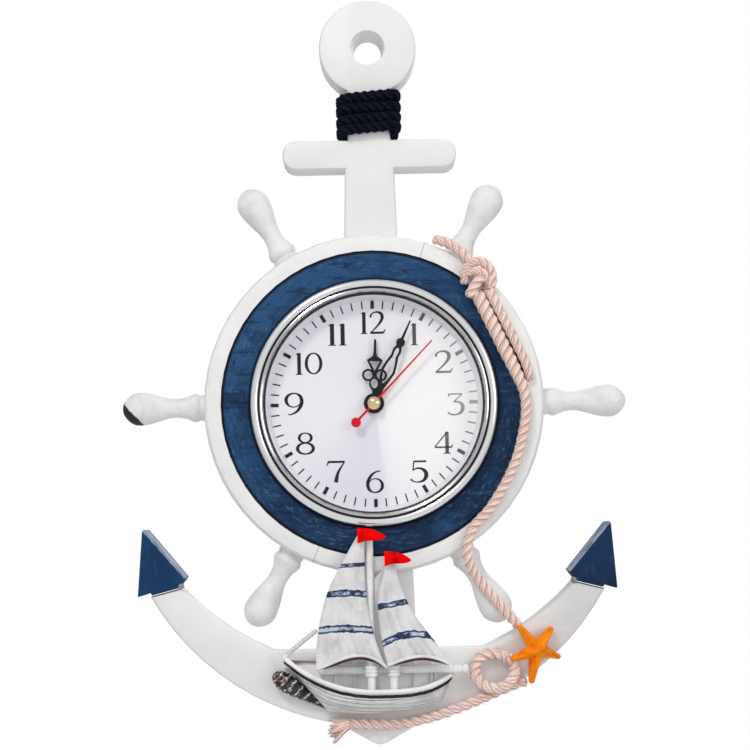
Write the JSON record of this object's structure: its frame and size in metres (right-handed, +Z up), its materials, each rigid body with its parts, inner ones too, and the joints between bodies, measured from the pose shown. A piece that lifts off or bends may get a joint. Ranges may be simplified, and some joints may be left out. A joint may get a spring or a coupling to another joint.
{
  "type": "wall clock",
  "caption": "Wall clock shaped as an anchor with a ship's wheel round a numbered dial, ornate hands, a small sailing boat, ropes, a starfish and a sea shell.",
  "frame": {"origin": "middle of the sawtooth hanger in the back of the stock, on the plane of the wall", "axes": "+Z up, the clock faces -Y and its flat back lies on the wall at Y = 0, +X to the right seen from the front"},
  "size_m": [0.2322, 0.033, 0.345],
  "materials": {
    "white_wood": "satin white paint on wood",
    "rim_wood": "matt off-white paint, brushed along the grain",
    "navy_wood": "matt navy paint",
    "black_plastic": "moulded, fine matt",
    "dial_metal": "spun silver-white",
    "bezel_chrome": "polished",
    "lens_glass": "clear, slightly domed",
    "hand_black": "gloss black",
    "hand_red": "gloss red",
    "cap_brass": "polished",
    "gear_plastic": "moulded",
    "gear_brass": "as cut",
    "rotor_magnet": "sintered magnet with a plastic pinion",
    "motor_steel": "soft iron sheet",
    "coil_copper": "enamelled copper wire",
    "board_plastic": "printed board",
    "battery_jacket": null,
    "contact_nickel": "nickel plate",
    "navy_rope": "twisted cord, dark navy",
    "pink_rope": "twisted cord, pink beige",
    "star_resin": "matt orange",
    "shell": "natural shell, dark with light spots",
    "boat_resin": "white paint on cast resin",
    "sail_resin": "white with navy stripes",
    "pennant_red": "gloss red",
    "white_cord": "white twisted cord",
    "hanger_steel": "zinc plate"
  },
  "bodies": {
    "frame": {"anchor_body": "white_wood", "fluke_left": "navy_wood", "fluke_right": "navy_wood", "wheel_rim": "rim_wood", "navy_ring": "navy_wood", "insert_cup": "black_plastic", "dial": "dial_metal", "bezel": "bezel_chrome", "lens": "lens_glass", "movement_case": "black_plastic", "movement_cover": "black_plastic", "middle_plate": "black_plastic", "fixing_nut": "gear_brass", "stator": "motor_steel", "coil": "coil_copper", "circuit_board": "board_plastic", "battery": "battery_jacket", "contact_plus": "contact_nickel", "contact_minus": "contact_nickel", "rope_winding": "navy_rope", "wheel_rope": "pink_rope", "wheel_rope_tail": "pink_rope", "rope_knot": "pink_rope", "hull_rope": "pink_rope", "rope_loop": "pink_rope", "starfish": "star_resin", "sea_shell": "shell", "boat_hull": "boat_resin", "hull_panel": "boat_resin", "main_mast": "boat_resin", "aft_mast": "boat_resin", "boom": "boat_resin", "fore_sail": "sail_resin", "aft_sail": "sail_resin", "staysail": "sail_resin", "main_pennant": "pennant_red", "aft_pennant": "pennant_red", "forestay": "white_cord", "wall_hanger": "hanger_steel", "nail_left": "hanger_steel", "nail_right": "hanger_steel", "handle_1": "white_wood", "handle_2": "white_wood", "handle_3": "white_wood", "handle_4": "white_wood", "handle_5": "white_wood", "handle_6": "white_wood"},
    "minute": {"minute_hand": "hand_black", "cannon_pinion": "gear_brass"},
    "hour": {"hour_hand": "hand_black", "hour_wheel": "gear_plastic"},
    "motion": {"motion_wheel": "gear_plastic"},
    "knob": {"setting_knob": "gear_plastic"},
    "second": {"second_wheel": "gear_plastic", "second_hand": "hand_red", "centre_cap": "cap_brass"},
    "third": {"third_wheel": "gear_plastic"},
    "centre": {"centre_wheel": "gear_brass"},
    "intermediate": {"intermediate_wheel": "gear_plastic"},
    "motor_rotor": {"rotor": "rotor_magnet"}
  },
  "joints": [
    {"name": "minute_spin", "type": "hinge", "parent": "frame", "child": "minute", "pos_m": [0, -0.017, -0.1165], "axis": [0, 1, 0], "continuous": true},
    {"name": "hour_spin", "type": "hinge", "parent": "frame", "child": "hour", "pos_m": [0, -0.018, -0.1165], "axis": [0, 1, 0], "continuous": true},
    {"name": "motion_spin", "type": "hinge", "parent": "frame", "child": "motion", "pos_m": [-0.00752, -0.014, -0.11924], "axis": [0, 1, 0], "continuous": true},
    {"name": "knob_spin", "type": "hinge", "parent": "frame", "child": "knob", "pos_m": [-0.01552, -0.008, -0.11924], "axis": [0, 1, 0], "continuous": true},
    {"name": "second_spin", "type": "hinge", "parent": "frame", "child": "second", "pos_m": [0, -0.013, -0.1165], "axis": [0, 1, 0], "continuous": true},
    {"name": "third_spin", "type": "hinge", "parent": "frame", "child": "third", "pos_m": [0, -0.009, -0.1075], "axis": [0, 1, 0], "continuous": true},
    {"name": "centre_spin", "type": "hinge", "parent": "frame", "child": "centre", "pos_m": [0, -0.012, -0.1165], "axis": [0, 1, 0], "continuous": true},
    {"name": "intermediate_spin", "type": "hinge", "parent": "frame", "child": "intermediate", "pos_m": [0.00789, -0.0065, -0.11937], "axis": [0, 1, 0], "continuous": true},
    {"name": "rotor_spin", "type": "hinge", "parent": "frame", "child": "motor_rotor", "pos_m": [0.01396, -0.005, -0.11587], "axis": [0, 1, 0], "continuous": true}
  ],
  "couplings": [
    {"joint": "hour_spin", "follows": "minute_spin", "ratio": 0.083333},
    {"joint": "motion_spin", "follows": "minute_spin", "ratio": -0.33333},
    {"joint": "knob_spin", "follows": "minute_spin", "ratio": 1},
    {"joint": "third_spin", "follows": "second_spin", "ratio": -0.13333},
    {"joint": "centre_spin", "follows": "second_spin", "ratio": 0.016667},
    {"joint": "intermediate_spin", "follows": "second_spin", "ratio": -5},
    {"joint": "rotor_spin", "follows": "second_spin", "ratio": 30}
  ]
}
